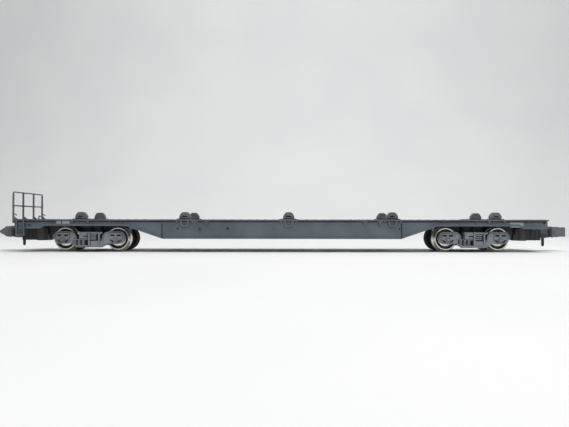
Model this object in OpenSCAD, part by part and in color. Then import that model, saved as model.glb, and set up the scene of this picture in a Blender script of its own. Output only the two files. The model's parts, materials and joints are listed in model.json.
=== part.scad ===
// Empty container flatcar, N gauge model at 1:150, in millimetres.
// +X runs along the car from the railing end (-X, the front) to the plain end, +Z is up.
// The origin is on the floor under the wheel flanges, at the middle of the car.

/* [Car body] */
// Length over the end plates
body_l = 130.7; // [112:0.1:160]
// Width over the top flanges
body_w = 17.6; // [14.6:0.1:22]
// Thickness of the deck lattice
deck_t = 1.0; // [0.8:0.05:1.5]
// Thickness of the recessed floor in the deck bays over the bogies
bay_floor_t = 0.35; // [0.25:0.05:0.6]
// Thickness of the top flange
flange_t = 0.3; // [0.2:0.05:0.5]
// How far the top flange stands out past the sill web
flange_out = 0.35; // [0.2:0.05:0.6]
// How far the top flange stands out past the end beams
flange_end_out = 0.25; // [0.1:0.05:0.5]
// Thickness of the side sill webs
sill_t = 0.9; // [0.6:0.05:1.2]
// Depth of the side sill between the bogies
sill_mid_h = 4.73; // [3.5:0.01:5.5]
// Depth of the side sill over the bogies
sill_bogie_h = 1.6; // [1.3:0.01:2]
// Depth of the side sill at the ends
sill_end_h = 2.23; // [1.8:0.01:2.6]
// Length of the deeper sill at each end
sill_end_l = 6.15; // [5:0.05:7]
// Length of the taper next to the deeper sill end
sill_end_taper = 1.0; // [0.5:0.1:2]
// Length of each sloping stretch of the fish-belly sill
belly_slope_l = 9.1; // [6:0.1:12]
// Distance from a bogie's centre to where the fish-belly begins
belly_from_bogie = 9.05; // [8:0.05:11]
// Height of the rib along the sill's lower edge
sill_rib_h = 0.5; // [0.3:0.05:0.8]
// How far the lower rib stands out from the web
sill_rib_out = 0.12; // [0.08:0.01:0.2]
// Width of the seam across the web where the sill begins to slope
seam_w = 0.24; // [0.15:0.01:0.4]
// Depth of that seam
seam_d = 0.16; // [0.1:0.01:0.3]
// Height of the coupler opening above the bottom of the end beams
end_beam_relief = 0.35; // [0.2:0.05:0.6]
// Thickness of the end beams
end_beam_t = 1.2; // [0.8:0.1:2]

/* [Deck lattice] */
// Width of the centre sill, seen from above
centre_sill_w = 3.0; // [2:0.1:4]
// Width of the cross beams that carry the container locks
lock_beam_w = 3.6; // [2.5:0.1:5]
// Width of the cross beams between the locks
mid_beam_w = 1.4; // [0.8:0.1:2.5]
// Length of the closed platform at each end
platform_l = 5.0; // [3.5:0.1:6]
// Distance from the deck edge to the bays
bay_edge = 2.7; // [2.6:0.05:3.5]
// Width and length of the container seats on the centre sill
seat_w = 2.4; // [1.5:0.1:2.9]
// Length of the container seats
seat_l = 5.0; // [3:0.1:8]
// Height of the container seats above the deck
seat_h = 0.15; // [0.1:0.01:0.3]

/* [Container locks] */
// Distance between neighbouring locks
lock_pitch = 25.47; // [21:0.01:30]
// Number of locks along each side
lock_count = 5; // [3:2:5]
// Shift of the lock row away from the railing end
lock_shift = 1.66; // [0:0.01:3]
// Length of a lock along the car
lock_l = 2.75; // [2:0.05:3.4]
// Width of a lock across the car
lock_w = 1.5; // [1.2:0.05:1.8]
// Height of a lock above the deck
lock_h = 1.82; // [1.2:0.01:2.5]
// Length of a lock's flat top
lock_top_l = 1.2; // [0.8:0.05:1.8]
// Height at which a lock's sides begin to slope
lock_shoulder_h = 0.8; // [0.5:0.05:1.1]
// Distance from the deck edge to a lock's outer face
lock_edge = 0.7; // [0.3:0.05:0.9]
// How far the middle of a lock's slope bulges out
lock_bulge = 0.07; // [0:0.01:0.15]
// Length, height and depth of the slot in a lock's outer face
lock_slot = [1.15, 0.32, 0.5];
// Height of the slot's middle above the deck
lock_slot_h = 0.76; // [0.5:0.01:1]

/* [Sill brackets] */
// Width of the bracket below a lock
bracket_w = 2.45; // [2:0.05:3]
// Height of the bracket below a lock
bracket_h = 1.45; // [1:0.05:1.6]
// Thickness of the brackets
bracket_t = 0.25; // [0.15:0.05:0.35]
// Width of the small hanger brackets
hanger_w = 1.2; // [0.8:0.05:1.5]
// Height of the small hanger brackets
hanger_h = 1.3; // [0.8:0.05:1.6]

/* [Railing and steps] */
// Depth of the railing posts below the deck
post_below = 0.9; // [0.6:0.05:1.3]
// Height of the railing above the deck
rail_h = 6.85; // [5:0.05:9]
// Height of the middle rail above the deck
rail_mid_h = 3.35; // [2:0.05:4.5]
// Diameter of the railing posts
post_d = 0.46; // [0.3:0.02:0.6]
// Diameter of the railing's rails
rail_d = 0.34; // [0.24:0.02:0.46]
// Radius of the railing's top corners
rail_corner_r = 0.45; // [0.4:0.05:1.2]
// Distance between the two inner posts
inner_posts = 6.1; // [4:0.1:8]
// Distance from the deck edge to the outer posts' middles
post_edge = 0.28; // [0.25:0.01:0.6]
// Length of the gusset foot at each post
foot_l = 0.9; // [0.5:0.05:1.5]
// Width of a corner step
step_w = 2.1; // [1.5:0.05:3]
// Thickness of the step's bars
step_t = 0.35; // [0.25:0.05:0.4]
// Height of the step's tread above the floor
step_z = 3.96; // [3:0.02:4.5]
// Distance from the body's end to the step
step_from_end = 0.45; // [0.3:0.05:1.5]

/* [Underframe] */
// Thickness of the steel ballast plate
ballast_t = 1.0; // [0.6:0.1:1.2]
// Distance from a bogie's centre to the ballast plate
ballast_from_bogie = 13.85; // [13.5:0.05:16]
// Thickness of the underframe's floor
under_floor_t = 0.4; // [0.3:0.05:0.6]
// Width of the underframe's centre sill
under_sill_w = 3.2; // [2.4:0.1:4]
// Depth of the underframe's centre sill
under_sill_h = 1.4; // [1:0.1:1.8]
// Thickness of the underframe's cross bearers
bearer_t = 0.8; // [0.5:0.05:1.2]
// Depth of a cross bearer at the side sills
bearer_end_h = 0.6; // [0.4:0.05:1]
// Gap between the underframe and the side sills
under_gap = 0.05; // [0.03:0.01:0.1]
// Diameter of the brake cylinder and the air reservoirs
tank_d = 2.2; // [1.5:0.1:2.3]
// Diameter of the brake rods
brake_rod_d = 0.4; // [0.3:0.05:0.5]

/* [Wheels] */
// Diameter of the wheel treads
tread_d = 5.6; // [4.6:0.05:6.8]
// Height of the wheel flanges
flange_h = 0.4; // [0.3:0.05:0.6]
// Distance between the backs of two wheels
back_to_back = 7.4; // [7:0.05:7.6]
// Width of a wheel, with its flange
wheel_w = 2.0; // [1.6:0.05:2.2]
// Thickness of the flange
wheel_flange_t = 0.45; // [0.35:0.05:0.6]
// Thickness of the wheel's rim
rim_t = 0.3; // [0.2:0.02:0.4]
// Width of the groove between the rim and the disc
groove_w = 0.55; // [0.3:0.05:0.7]
// Depth of the groove between rim and disc
groove_h = 0.9; // [0.4:0.05:1.1]
// Diameter of the axle between the wheels
axle_d = 1.5; // [1:0.05:1.8]
// Diameter of the axle's journals
journal_d = 1.1; // [0.8:0.05:1.3]
// Radial clearance of the running bearings
running_gap = 0.07; // [0.03:0.01:0.1]
// Clearance between the flanges and the deck
deck_clear = 0.6; // [0.45:0.05:1]

/* [Bogies] */
// Distance from the body's end to a bogie's centre
bogie_from_end = 18.0; // [17:0.05:20]
// Distance between the two axles of a bogie
wheelbase = 13.0; // [10.8:0.05:15.6]
// Distance between the outer faces of the side frames
bogie_w = 15.0; // [14.6:0.05:15.2]
// Thickness of the side frames
side_frame_t = 1.0; // [0.8:0.05:1.2]
// How far the side frames' raised details stand out
relief_t = 0.4; // [0.2:0.05:0.6]
// Gap between the bolster and the wheel flanges
bolster_gap = 0.6; // [0.5:0.05:1]
// Diameter of the bogie's centre hub
hub_d = 4.8; // [4:0.1:5.4]
// Diameter of the bogie pin
pin_d = 2.0; // [1.6:0.05:2.4]
// Diameter of the bogie pin's head
pin_head_d = 3.4; // [3:0.1:4]
// Thickness of the bogie pin's head
pin_head_t = 0.45; // [0.3:0.05:0.6]
// Width of the bogie's spine, from its inner end to the coupler pocket
spine_w = 3.2; // [2.4:0.1:4]
// Gap between the spine and the axles
spine_gap = 0.25; // [0.2:0.05:0.4]
// How far the spine reaches past the inner axle
spine_past_axle = 1.7; // [1:0.1:3]
// Depth of the boss that carries the bogie pin
boss_h = 0.7; // [0.6:0.05:1]
// Gap between a brake shoe and its wheel tread
shoe_gap = 0.25; // [0.15:0.05:0.4]

/* [Couplers] */
// Height of the coupler head's middle above the axles
coupler_up = 1.73; // [1.5:0.01:1.9]
// How far the coupler's tip reaches past its pocket
coupler_out = 6.3; // [6:0.05:7.5]
// Length of the coupler head
head_l = 3.5; // [3:0.05:4]
// Width of the coupler head
head_w = 5.0; // [4:0.1:6]
// Height of the coupler head
head_h = 2.65; // [2:0.05:3]
// Thickness of the coupler head's walls
head_t = 0.75; // [0.5:0.05:1]
// Length of the end box on the head's plain side
guard_l = 1.8; // [1.4:0.05:2.2]
// How far the end box steps in at its top and bottom
guard_in = 0.12; // [0.08:0.01:0.3]
// Width of the coupler's shank
shank_w = 2.0; // [1.5:0.05:2.2]
// Height of the coupler's shank
shank_h = 1.4; // [1:0.05:1.6]
// Gap between the outer wheel flanges and the coupler pocket
pocket_gap = 2.45; // [1.8:0.05:3]
// Length of the coupler pocket
pocket_l = 6.5; // [5.5:0.05:7]
// Width of the coupler pocket
pocket_w = 5.0; // [4.6:0.1:5.6]
// How far the coupler pocket's underside lies below the axles
pocket_drop = 0.4; // [0.2:0.05:0.7]
// Thickness of the coupler pocket's walls and lid
pocket_t = 0.4; // [0.3:0.05:0.5]
// Inner height of the coupler pocket
pocket_inner_h = 2.0; // [1.8:0.05:2.2]
// Distance from the pocket's rear to the coupler's pivot
pivot_in = 2.05; // [1.8:0.05:2.4]
// Diameter of the coupler's pivot post
pivot_d = 1.0; // [0.8:0.05:1.2]
// Diameter of the coupler's eye
eye_d = 2.4; // [2.2:0.05:2.8]
// Diameter of the uncoupling pin
uncouple_d = 0.7; // [0.5:0.05:0.9]
// Height of the uncoupling pin's tip above the floor
uncouple_z = 1.23; // [1:0.01:1.6]
// Distance from the coupler's tip back to the uncoupling pin
uncouple_back = 5.2; // [4.8:0.05:5.6]
// Distance of the uncoupling pin from the coupler's middle
uncouple_side = 1.2; // [1:0.05:1.3]

/* [Hidden] */
$fn = 48;

body_grey = [0.33, 0.37, 0.40];
lock_grey = [0.36, 0.35, 0.38];
bogie_grey = [0.45, 0.48, 0.51];
black = [0.10, 0.10, 0.11];
steel = [0.62, 0.62, 0.62];
bright = [0.78, 0.77, 0.74];
eps = 0.01;

// Heights above the floor
flange_d = tread_d + 2 * flange_h;
disc_d = tread_d - 2 * (rim_t + groove_w);
axle_z = flange_d / 2;
deck_under = flange_d + deck_clear;
deck_z = deck_under + deck_t;
sill_mid_z = deck_z - sill_mid_h;
sill_bogie_z = deck_z - sill_bogie_h;
sill_end_z = deck_z - sill_end_h;
ballast_z = deck_under - ballast_t;
under_top = ballast_z;
under_floor_z = under_top - under_floor_t;
under_sill_z = under_floor_z - under_sill_h;

// Places along and across the car
web_y = body_w / 2 - flange_out;
sill_in_y = web_y - sill_t;
beam_end_x = body_l / 2 - flange_end_out;
bogie_x = body_l / 2 - bogie_from_end;
belly_x = bogie_x - belly_from_bogie;
belly_flat_x = belly_x - belly_slope_l;
ballast_x = bogie_x - ballast_from_bogie;
bay_in_y = centre_sill_w / 2;
bay_out_y = body_w / 2 - bay_edge;
half_locks = (lock_count - 1) / 2;
lock_ids = [for (k = [-half_locks : half_locks]) if (abs(lock_at(k)) + lock_l / 2 < beam_end_x) k];
under_y = sill_in_y - under_gap;

// Middle of lock number k along the car
function lock_at(k) = lock_shift + k * lock_pitch;

// Lower edge of the side sill, from the front end to the rear end
sill_bottom = [
    [-beam_end_x, sill_end_z],
    [-body_l / 2 + sill_end_l, sill_end_z],
    [-body_l / 2 + sill_end_l + sill_end_taper, sill_bogie_z],
    [-belly_x, sill_bogie_z],
    [-belly_flat_x, sill_mid_z],
    [belly_flat_x, sill_mid_z],
    [belly_x, sill_bogie_z],
    [body_l / 2 - sill_end_l - sill_end_taper, sill_bogie_z],
    [body_l / 2 - sill_end_l, sill_end_z],
    [beam_end_x, sill_end_z]];

// A box given by its lowest and highest corners
module span(low, high) {
    translate(low) cube(high - low);
}

// An outline drawn in X and Z, extruded across the car from y0 to y1
module across(y0, y1) {
    translate([0, y1, 0]) rotate([90, 0, 0]) linear_extrude(y1 - y0) children();
}

// Points of an elliptical arc about a centre, from angle a0 to a1 in n steps
function arc(centre, rx, rz, a0, a1, n) =
    [for (i = [0 : n]) let (a = a0 + (a1 - a0) * i / n) centre + [rx * cos(a), rz * sin(a)]];

// A cylinder along X from x0 to x1
module bar_x(x0, x1, d) {
    translate([x0, 0, 0]) rotate([0, 90, 0]) cylinder(d = d, h = x1 - x0);
}

// A cylinder along Y from y0 to y1
module bar_y(y0, y1, d) {
    translate([0, y1, 0]) rotate([90, 0, 0]) cylinder(d = d, h = y1 - y0);
}

module both_sides() {
    children();
    mirror([0, 1, 0]) children();
}

// --- Car body ---

// Side sill on the +Y side: web, top flange, the rib along its lower edge and the two seams
module side_sill() {
    last = len(sill_bottom) - 1;
    difference() {
        union() {
            across(sill_in_y, web_y)
                polygon(concat(sill_bottom, [[beam_end_x, deck_z], [-beam_end_x, deck_z]]));
            across(web_y - eps, web_y + sill_rib_out)
                polygon(concat(sill_bottom, [for (i = [last : -1 : 0]) sill_bottom[i] + [0, sill_rib_h]]));
        }
        for (x = [-belly_flat_x - seam_w, belly_flat_x])
            span([x, web_y - seam_d, sill_mid_z - 1], [x + seam_w, web_y + 1, deck_z - flange_t]);
    }
    span([-body_l / 2, sill_in_y, deck_z - flange_t], [body_l / 2, body_w / 2, deck_z]);
}

// One deck bay on the +Y side: right through over the ballast plate, elsewhere with a floor.
// Where a lock stands on the end platform, no length is left for a bay.
module bay(x0, x1) {
    open = max(abs(x0), abs(x1)) < ballast_x;
    z0 = open ? deck_under - 1 : deck_under + bay_floor_t;
    if (x1 > x0) span([x0, bay_in_y, z0], [x1, bay_out_y, deck_z + 1]);
}

module bays() {
    first = lock_at(lock_ids[0]) - lock_beam_w / 2;
    last = lock_at(lock_ids[len(lock_ids) - 1]) + lock_beam_w / 2;
    for (i = [0 : len(lock_ids) - 2]) {
        x0 = lock_at(lock_ids[i]) + lock_beam_w / 2;
        x1 = lock_at(lock_ids[i + 1]) - lock_beam_w / 2;
        mid = (x0 + x1) / 2;
        bay(x0, mid - mid_beam_w / 2);
        bay(mid + mid_beam_w / 2, x1);
    }
    bay(platform_l - body_l / 2, first);
    bay(last, body_l / 2 - platform_l);
}

// Boss under the deck that turns on a bogie's hub
module bogie_boss() {
    translate([0, 0, deck_under - boss_h]) cylinder(d = hub_d, h = boss_h + deck_t);
}

module pin_hole() {
    translate([0, 0, deck_under - boss_h - 1]) cylinder(d = pin_d, h = boss_h + 1 + deck_t * 0.6);
}

module deck() {
    color(body_grey) difference() {
        union() {
            both_sides() side_sill();
            difference() {
                span([-body_l / 2, -web_y, deck_z - flange_t], [body_l / 2, web_y, deck_z]);
                both_sides() bays();
            }
            difference() {
                span([-beam_end_x, -web_y, deck_under], [beam_end_x, web_y, deck_z]);
                both_sides() bays();
            }
            for (s = [-1, 1]) {
                scale([s, 1, 1])
                    span([beam_end_x - end_beam_t, -web_y, sill_end_z + end_beam_relief],
                        [beam_end_x, web_y, deck_z]);
                translate([s * bogie_x, 0, 0]) bogie_boss();
            }
            for (k = lock_ids)
                span([lock_at(k) - seat_l / 2, -seat_w / 2, deck_z - eps],
                    [lock_at(k) + seat_l / 2, seat_w / 2, deck_z + seat_h]);
        }
        for (s = [-1, 1]) translate([s * bogie_x, 0, 0]) pin_hole();
    }
}

module ballast_plate() {
    color(steel) span([-ballast_x, -under_y, ballast_z], [ballast_x, under_y, deck_under]);
}

// Cross bearers stand under the locks and midway between them
bearer_xs = [for (k = [-half_locks : 0.5 : half_locks])
    if (abs(lock_at(k)) + bearer_t < belly_flat_x) lock_at(k)];

module underframe() {
    color(body_grey) {
        span([-ballast_x, -under_y, under_floor_z], [ballast_x, under_y, under_top]);
        span([-belly_flat_x, -under_sill_w / 2, under_sill_z],
            [belly_flat_x, under_sill_w / 2, under_floor_z + eps]);
        for (x = bearer_xs) translate([x - bearer_t / 2, 0, 0]) rotate([90, 0, 90])
            linear_extrude(bearer_t) polygon([
                [-under_y, under_floor_z + eps], [-under_y, under_floor_z - bearer_end_h],
                [-under_sill_w / 2, under_sill_z], [under_sill_w / 2, under_sill_z],
                [under_y, under_floor_z - bearer_end_h], [under_y, under_floor_z + eps]]);
    }
}

// --- Underfloor gear ---

tank_y = (under_sill_w / 2 + under_y) / 2;
tank_z = under_floor_z - tank_d / 2;
// Stretch of floor between the middle bearer and its neighbour to the rear
gear_bay = lock_pitch / 2 - bearer_t;

// A tank along X with chamfered ends and two saddles up to the floor
module tank(l) {
    edge = tank_d / 6;
    rotate([0, 90, 0]) rotate_extrude() polygon([
        [0, 0], [tank_d / 2 - edge, 0], [tank_d / 2, edge],
        [tank_d / 2, l - edge], [tank_d / 2 - edge, l], [0, l]]);
    for (x = [l / 4, l * 3 / 4])
        span([x - 0.3, -tank_d / 3, 0], [x + 0.3, tank_d / 3, tank_d / 2]);
}

module brake_cylinder() {
    l = gear_bay * 0.45;
    color(body_grey) translate([lock_shift + bearer_t / 2 + gear_bay * 0.2, -tank_y, tank_z]) {
        tank(l);
        bar_x(l - eps, l + gear_bay * 0.2, tank_d / 4);
        bar_x(0, tank_d / 6, tank_d);
    }
}

module air_reservoirs() {
    l = gear_bay * 0.8;
    color(body_grey) {
        translate([lock_shift + bearer_t / 2 + gear_bay * 0.1, tank_y, tank_z]) tank(l);
        translate([lock_shift - bearer_t / 2 - gear_bay * 0.9, tank_y, tank_z]) tank(l * 0.6);
    }
}

module control_valve() {
    w = tank_d * 0.8;
    x = lock_shift - bearer_t / 2 - gear_bay * 0.7;
    color(body_grey) {
        span([x, -tank_y - w / 2, under_floor_z - w], [x + w * 1.5, -tank_y + w / 2, under_floor_z]);
        translate([x + w * 0.75, -tank_y, under_floor_z - w]) rotate([180, 0, 0])
            cylinder(d = w * 0.7, h = w * 0.25);
        translate([0, -tank_y, under_floor_z - w / 2]) bar_x(x - w * 0.6, x + eps, w * 0.5);
    }
}

// Two pull rods along the centre sill's lower edges
module brake_rods() {
    color(body_grey) both_sides()
        translate([0, under_sill_w / 2 + brake_rod_d / 2, under_sill_z - brake_rod_d / 2 + eps])
            bar_x(-belly_flat_x, belly_flat_x, brake_rod_d);
}

// --- Locks and brackets ---

module lock() {
    slope_x = (lock_l + lock_top_l) / 4 + lock_bulge;
    slope_z = (lock_h + lock_shoulder_h) / 2 + lock_bulge;
    difference() {
        across(-lock_w / 2, lock_w / 2) polygon([
            [-lock_l / 2, 0], [lock_l / 2, 0], [lock_l / 2, lock_shoulder_h], [slope_x, slope_z],
            [lock_top_l / 2, lock_h], [-lock_top_l / 2, lock_h], [-slope_x, slope_z],
            [-lock_l / 2, lock_shoulder_h]]);
        span([-lock_slot[0] / 2, lock_w / 2 - lock_slot[2], lock_slot_h - lock_slot[1] / 2],
            [lock_slot[0] / 2, lock_w, lock_slot_h + lock_slot[1] / 2]);
    }
}

// Locks of the +Y side
module lock_row() {
    for (k = lock_ids)
        translate([lock_at(k), body_w / 2 - lock_edge - lock_w / 2, deck_z]) lock();
}

module container_locks_left() { color(lock_grey) mirror([0, 1, 0]) lock_row(); }

module container_locks_right() { color(lock_grey) lock_row(); }

// U-shaped bracket hanging below the top flange, its upper edge at height 0
module lock_bracket() {
    narrow = bracket_w * 0.36;
    across(0, bracket_t) difference() {
        polygon([[-bracket_w / 2, 0], [-narrow, -bracket_h], [narrow, -bracket_h], [bracket_w / 2, 0]]);
        polygon([[-bracket_w * 0.28, eps], [-bracket_w * 0.2, -bracket_h * 0.7],
            [bracket_w * 0.2, -bracket_h * 0.7], [bracket_w * 0.28, eps]]);
    }
}

// T-shaped hanger below the top flange
module hanger() {
    across(0, bracket_t) polygon([
        [-hanger_w / 2, 0], [-hanger_w / 2, -hanger_h * 0.3], [-hanger_w / 5, -hanger_h * 0.3],
        [-hanger_w / 5, -hanger_h], [hanger_w / 5, -hanger_h], [hanger_w / 5, -hanger_h * 0.3],
        [hanger_w / 2, -hanger_h * 0.3], [hanger_w / 2, 0]]);
}

// Hangers stand at these distances from the middle lock
hanger_from_lock = [-23.0, -20.1, 18.7, 22.4];

// Brackets of the +Y side
module bracket_row() {
    for (k = lock_ids) if (abs(lock_at(k)) < belly_flat_x)
        translate([lock_at(k), web_y, deck_z - flange_t]) lock_bracket();
    for (d = hanger_from_lock)
        translate([lock_shift + d, web_y, deck_z - flange_t]) hanger();
}

module sill_brackets_left() { color(body_grey) mirror([0, 1, 0]) bracket_row(); }

module sill_brackets_right() { color(body_grey) bracket_row(); }

// --- Railing and steps ---

post_y = body_w / 2 - post_edge;
post_x = -body_l / 2 - post_d / 2;
rail_top_z = deck_z + rail_h - rail_d / 2;
post_foot_z = deck_z - post_below;

// Outer post of the +Y side with its rounded top corner
module outer_post() {
    translate([post_x, post_y, post_foot_z])
        cylinder(d = post_d, h = rail_top_z - rail_corner_r - post_foot_z);
    translate([post_x, post_y - rail_corner_r, rail_top_z - rail_corner_r]) rotate([90, 0, 90])
        rotate_extrude(angle = 90) translate([rail_corner_r, 0]) circle(d = rail_d);
}

// Stub from the foot of a post into the end beam
module post_stub(y) {
    translate([0, y, post_foot_z + post_d / 2]) bar_x(post_x, -beam_end_x, post_d);
}

// Gusset from a post onto the deck
module post_foot(y) {
    across(y - rail_d / 2, y + rail_d / 2) polygon([
        [post_x, deck_z], [post_x + post_d / 2 + foot_l, deck_z], [post_x, deck_z + foot_l]]);
}

module end_railing() {
    color(body_grey) {
        both_sides() {
            outer_post();
            translate([post_x, inner_posts / 2, post_foot_z])
                cylinder(d = post_d, h = rail_top_z - post_foot_z);
            for (y = [inner_posts / 2, post_y]) {
                post_foot(y);
                post_stub(min(y, web_y - post_d / 2));
            }
        }
        translate([post_x, 0, rail_top_z])
            bar_y(rail_corner_r - post_y, post_y - rail_corner_r, rail_d);
        translate([post_x, 0, deck_z + rail_mid_h]) bar_y(-post_y, post_y, rail_d);
    }
}

// Step of the +Y side: two hangers and a tread
module corner_step() {
    x0 = -body_l / 2 + step_from_end;
    across(web_y + sill_rib_out, body_w / 2) difference() {
        translate([x0, step_z]) square([step_w, deck_z - flange_t - step_z]);
        translate([x0 + step_t, step_z + step_t])
            square([step_w - 2 * step_t, deck_z - step_z]);
    }
    span([x0, web_y + sill_rib_out - step_t, step_z],
        [x0 + step_w, web_y + sill_rib_out + eps, step_z + step_t]);
}

module corner_steps() { color(body_grey) both_sides() corner_step(); }

// --- Bogies, drawn about the bogie's centre with the coupler towards +X ---

frame_out_y = bogie_w / 2;
frame_in_y = frame_out_y - side_frame_t;
hub_top = deck_under - boss_h;
bolster_x = wheelbase / 2 - flange_d / 2 - bolster_gap;
bolster_z = axle_z + 0.4;
bolster_top = axle_z + 1.85;
journal_y = frame_out_y - 0.3;
pin_top = deck_under + deck_t * 0.6;

// Places a child at the front bogie (s = -1) or the rear bogie (s = 1)
module at_bogie(s) {
    translate([s * bogie_x, 0, 0]) rotate([0, 0, s < 0 ? 180 : 0]) children();
}

// Distance from an axle to the flat top's outer and inner ends
box_out = 1.05;
box_in = 1.75;
// Half lengths of the centre block and of the spring seat below it
block_x = wheelbase / 2 - 4.05;
seat_x = wheelbase / 2 - 3.5;

// Side frame seen from outside, from its left axlebox over the top and back underneath
module side_frame_outline() {
    half = wheelbase / 2;
    right = concat(
        [[block_x, 1.7], [block_x + 0.15, -0.1], [half - box_in - 1.55, -0.1]],
        arc([half - box_in, 0.2], 1.5, 1.6, 180, 90, 5),
        arc([half + box_out, 0.6], 1.0, 1.2, 90, 0, 5),
        arc([half + 0.6, -0.1], 1.45, 1.15, 0, -90, 5),
        [[half - 0.9, -1.25], [half - 1.9, -1.05], [seat_x, -2.1]]);
    left = [for (i = [len(right) - 1 : -1 : 0]) [-right[i][0], right[i][1]]];
    translate([0, axle_z]) polygon(concat(right, left));
}

// Raised axlebox cover with its round boss
module axlebox() {
    across(frame_out_y - eps, frame_out_y + relief_t / 2)
        translate([0, axle_z]) polygon(concat([[1.55, 1.45], [-1.55, 1.45]],
            arc([0, -0.1], 1.55, 0.95, 180, 360, 12)));
    translate([0, 0, axle_z - 0.2]) bar_y(frame_out_y - eps, frame_out_y + relief_t, 0.8);
}

// Two level slots in an axlebox, short of the bearing, and two slanting recesses below them
module axlebox_recesses() {
    for (s = [-1, 1]) {
        across(journal_y + 0.15, frame_out_y + relief_t)
            translate([s * 0.8, axle_z + 0.88]) square([1.0, 0.45], center = true);
        across(frame_out_y - 0.4, frame_out_y + relief_t)
            translate([s * 0.95, axle_z - 0.5]) rotate(s * 40) square([1.0, 0.35], center = true);
    }
}

// Bolster end and spring seat, raised on the side frame
module centre_relief() {
    across(frame_out_y - eps, frame_out_y + relief_t / 2) {
        translate([-block_x, axle_z + 1.2]) square([2 * block_x, 0.5]);
        translate([-seat_x + 0.3, axle_z - 2.1]) square([2 * seat_x - 0.6, 0.5]);
    }
    across(frame_out_y - eps, frame_out_y + relief_t)
        translate([-0.2, axle_z - 1.7]) square([0.44, 3.4]);
}

// Side frame of the +Y side, mirrored so that it reads as drawn when seen from outside
module side_frame() {
    mirror([1, 0, 0]) difference() {
        union() {
            across(frame_in_y, frame_out_y) side_frame_outline();
            for (s = [-1, 1]) translate([s * wheelbase / 2, 0, 0]) axlebox();
            centre_relief();
        }
        for (s = [-1, 1]) translate([s * wheelbase / 2, 0, 0]) {
            translate([0, 0, axle_z]) bar_y(frame_in_y - 1, journal_y + 0.1, journal_d + 2 * running_gap);
            axlebox_recesses();
        }
    }
}

module side_frames() {
    color(bogie_grey) for (a = [0, 180]) rotate([0, 0, a]) side_frame();
}

pocket_x = wheelbase / 2 + flange_d / 2 + pocket_gap;
pocket_z = axle_z - pocket_drop;
pocket_top = pocket_z + pocket_t + pocket_inner_h;
pocket_end = pocket_x + pocket_l;
pivot_x = pocket_x + pivot_in;

// Open-topped box that holds the coupler's eye, with its pivot post
module coupler_pocket() {
    difference() {
        span([pocket_x, -pocket_w / 2, pocket_z], [pocket_end, pocket_w / 2, pocket_top]);
        span([pocket_x + pocket_t, -pocket_w / 2 + pocket_t, pocket_z + pocket_t],
            [pocket_end + 1, pocket_w / 2 - pocket_t, pocket_top + 1]);
    }
    translate([pivot_x, 0, pocket_z + pocket_t - eps]) cylinder(d = pivot_d, h = pocket_inner_h + eps);
}

// Bolster with its hub, and the spine over both axles and out to the coupler pocket.
// Only the spine's lower half runs into the pocket, and the upper half stops at its lid.
module bogie_core() {
    spine_in_x = -wheelbase / 2 - spine_past_axle;
    color(black) difference() {
        union() {
            span([-bolster_x, -frame_in_y, bolster_z], [bolster_x, frame_in_y, bolster_top]);
            translate([0, 0, bolster_z]) cylinder(d = hub_d, h = hub_top - bolster_z);
            span([spine_in_x, -spine_w / 2, axle_z + axle_d / 2 + spine_gap],
                [pocket_x + eps, spine_w / 2, bolster_top]);
            span([spine_in_x, -spine_w / 2, bolster_top - eps], [pocket_x, spine_w / 2, hub_top]);
            coupler_pocket();
        }
        translate([0, 0, bolster_z - 1])
            cylinder(d = pin_d + 2 * running_gap, h = hub_top - bolster_z + 2);
    }
}

module coupler_lid() {
    color(black)
        span([pocket_x, -pocket_w / 2, pocket_top], [pocket_end, pocket_w / 2, pocket_top + pocket_t]);
}

// Pin with a head below the bolster, held in the deck's boss
module bogie_pin() {
    gap = 0.05;
    color(black) {
        translate([0, 0, bolster_z - gap - pin_head_t]) cylinder(d = pin_head_d, h = pin_head_t);
        translate([0, 0, bolster_z - gap - eps]) cylinder(d = pin_d, h = pin_top - bolster_z + gap + eps);
    }
}

// Brake shoe blocks, one facing each tread from the bolster
module brake_shoes() {
    tread_in = wheelbase / 2 - tread_d / 2;
    y0 = back_to_back / 2 + wheel_flange_t + 0.25;
    y1 = back_to_back / 2 + wheel_w - 0.1;
    color(black) for (s = [-1, 1], t = [-1, 1]) scale([s, t, 1])
        span([bolster_x, y0, axle_z - 0.6], [tread_in - shoe_gap, y1, axle_z + 1.0]);
}

// --- Wheelsets ---

// Wheel section: radius, and distance from the wheel's back. A deep groove parts the rim from the disc.
module wheel_section() {
    r = tread_d / 2;
    polygon([
        [axle_d / 2, 0], [flange_d / 2 - 0.1, 0], [flange_d / 2, 0.12],
        [flange_d / 2, wheel_flange_t - 0.12], [r + 0.05, wheel_flange_t + 0.05],
        [r, wheel_w - 0.1], [r - 0.1, wheel_w], [r - rim_t, wheel_w],
        [r - rim_t - 0.05, wheel_w - groove_h], [disc_d / 2 + 0.05, wheel_w - groove_h],
        [disc_d / 2, wheel_w - 0.35], [disc_d / 2 - 0.12, wheel_w - 0.25],
        [disc_d / 2 - 0.5, wheel_w - 0.45], [axle_d / 2, wheel_w - 0.55]]);
}

module wheel_pair() {
    color(bright) translate([0, 0, axle_z]) both_sides()
        translate([0, back_to_back / 2, 0]) rotate([-90, 0, 0]) rotate_extrude($fn = 96) wheel_section();
}

// Axle with plain journals at its ends
module axle() {
    mid = back_to_back / 2 + wheel_w - 0.55;
    color(steel) translate([0, 0, axle_z]) {
        bar_y(-mid, mid, axle_d);
        bar_y(-journal_y, journal_y, journal_d);
    }
}

// Distance of wheelset n along the car, counted from the front
function axle_x(n) = (n < 3 ? -1 : 1) * bogie_x + (n % 2 == 1 ? -1 : 1) * wheelbase / 2;

// --- Couplers, drawn about the bogie's centre and pointing to +X ---

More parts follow.
